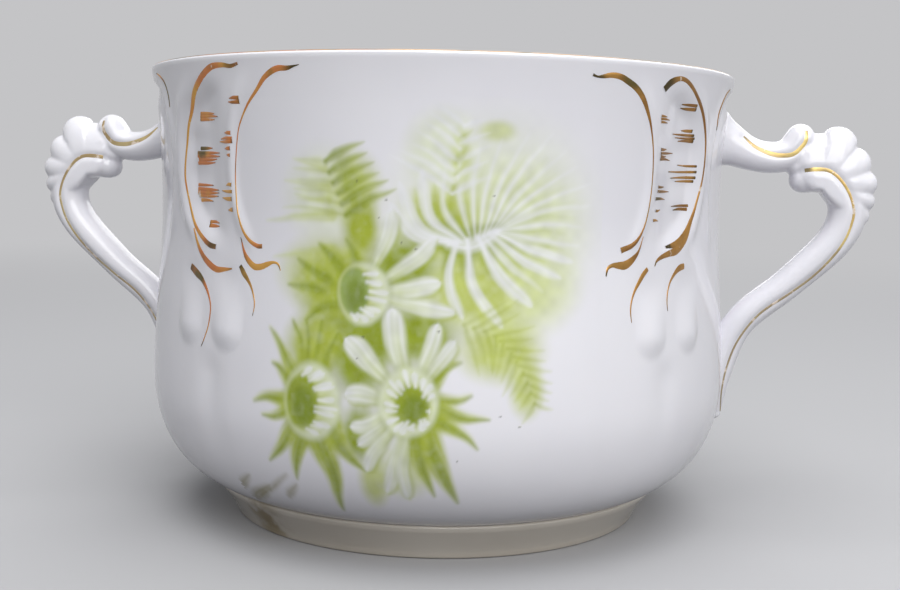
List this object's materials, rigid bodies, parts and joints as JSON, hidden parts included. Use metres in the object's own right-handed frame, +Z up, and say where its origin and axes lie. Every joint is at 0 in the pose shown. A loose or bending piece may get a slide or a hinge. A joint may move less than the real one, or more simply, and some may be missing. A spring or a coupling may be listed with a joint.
{
  "type": "bouillon cup",
  "caption": "Two-handled porcelain bouillon cup: lobed bowl with fluted corner columns, low foot ring, scroll handles with shell thumb rests and a gilded lip.",
  "frame": {"origin": "middle of the resting plane under the foot ring, on the cup's axis", "axes": "+Z up along the cup's axis, +X along the line of the two handles, -Y towards the printed front"},
  "size_m": [0.1342, 0.0902, 0.0682],
  "materials": {
    "porcelain": "clear gloss glaze over hard white porcelain",
    "foot_porcelain": "thin glaze, slightly worn",
    "gilding": "burnished gold, worn"
  },
  "bodies": {
    "root": {"bowl": "porcelain", "foot_ring": "foot_porcelain", "handle_right": "porcelain", "handle_left": "porcelain", "rim_gilding": "gilding"}
  },
  "joints": []
}
